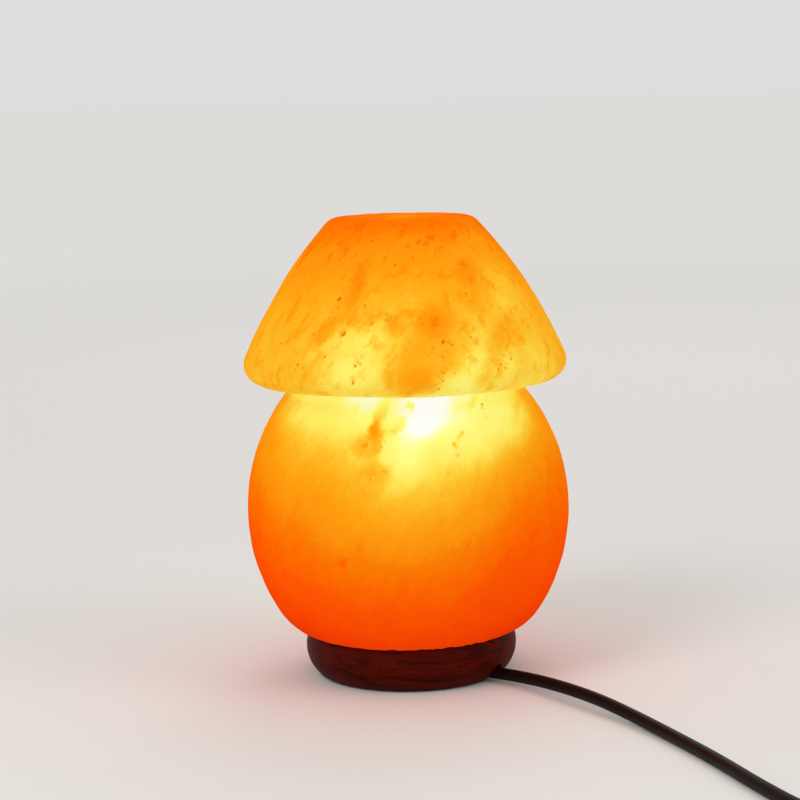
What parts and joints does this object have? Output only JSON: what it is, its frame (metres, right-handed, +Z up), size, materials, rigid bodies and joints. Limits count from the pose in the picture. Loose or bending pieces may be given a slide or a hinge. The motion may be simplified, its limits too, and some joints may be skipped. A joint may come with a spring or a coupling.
{
  "type": "table lamp",
  "caption": "Rock salt table lamp: a turned ball under a cone-shaped top on a dark wooden base, with a bulb inside, a cord with an in-line dimmer and a plug.",
  "frame": {"origin": "on the table, under the middle of the wooden base", "axes": "+Z up the lamp's axis, -Y towards its front, +X to the right seen from the front, where the cord leaves"},
  "size_m": [0.3526, 0.3158, 0.2],
  "materials": {
    "salt": "translucent rock salt, lit from inside, satin with pits and veins",
    "dark_wood": "dark stained wood with fine grain, satin lacquer",
    "zinc_steel": "zinc-plated steel",
    "plug_nylon": "grey nylon",
    "pad_rubber": "matte black rubber",
    "holder_plastic": "black heat-proof moulding",
    "contact_brass": "bright brass",
    "spring_steel": "plain spring steel strip",
    "core_wire": "insulated wire",
    "clear_glass": "clear thin glass",
    "cap_metal": "rolled thread, satin",
    "cap_insulator": "black glassy insulator",
    "filament_wire": "fine wire",
    "cord_skin": "black smooth cord skin, slight sheen",
    "dimmer_case": "black fine-textured moulding",
    "board_sheet": "brown board",
    "board_part": "small moulded parts",
    "knob_plastic": "black knurled moulding",
    "plug_plastic": "black soft moulding",
    "blade_brass": "bright plated brass"
  },
  "bodies": {
    "cord_set": {"holder_shell": "holder_plastic", "holder_cap": "holder_plastic", "grip_screw": "zinc_steel", "ring_nut": "holder_plastic", "thread_shell": "contact_brass", "centre_contact": "contact_brass", "terminal_block": "holder_plastic", "terminal_screws": "contact_brass", "core_leads": "core_wire", "spring_clip": "spring_steel", "lamp_cord": "cord_skin", "link_cord": "cord_skin", "plug_cord": "cord_skin", "cord_coil": "cord_skin", "dimmer_tray": "dimmer_case", "dimmer_cover": "dimmer_case", "dimmer_screws": "zinc_steel", "dimmer_board": "board_sheet", "potentiometer": "board_part", "dimmer_triac": "board_part", "dimmer_capacitor": "board_part", "dimmer_relief_in": "plug_plastic", "dimmer_relief_out": "plug_plastic", "plug_relief": "plug_plastic", "plug_body": "plug_plastic", "plug_pins": "blade_brass"},
    "lamp_body": {"salt_block": "salt", "wooden_base": "dark_wood", "base_screws": "zinc_steel", "wall_plugs": "plug_nylon", "foot_pads": "pad_rubber"},
    "bulb": {"bulb_glass": "clear_glass", "bulb_cap": "cap_metal", "bulb_insulator": "cap_insulator", "bulb_contact": "contact_brass", "bulb_stem": "clear_glass", "filament_supports": "filament_wire", "filament": "filament_wire"},
    "dimmer_dial": {"dimmer_knob": "knob_plastic", "pot_shaft": "cap_metal"}
  },
  "joints": [
    {"name": "lamp_lift", "type": "slide", "parent": "cord_set", "child": "lamp_body", "axis": [0, 0, 1], "range_m": [0, 0.135]},
    {"name": "bulb_unscrew", "type": "hinge", "parent": "cord_set", "child": "bulb", "pos_m": [0, 0, 0.085], "axis": [0, 0, 1], "range_deg": [0, 1440]},
    {"name": "dimmer_turn", "type": "hinge", "parent": "cord_set", "child": "dimmer_dial", "pos_m": [0.204, -0.137, 0.016], "axis": [0, 0, 1], "range_deg": [0, 270]}
  ]
}
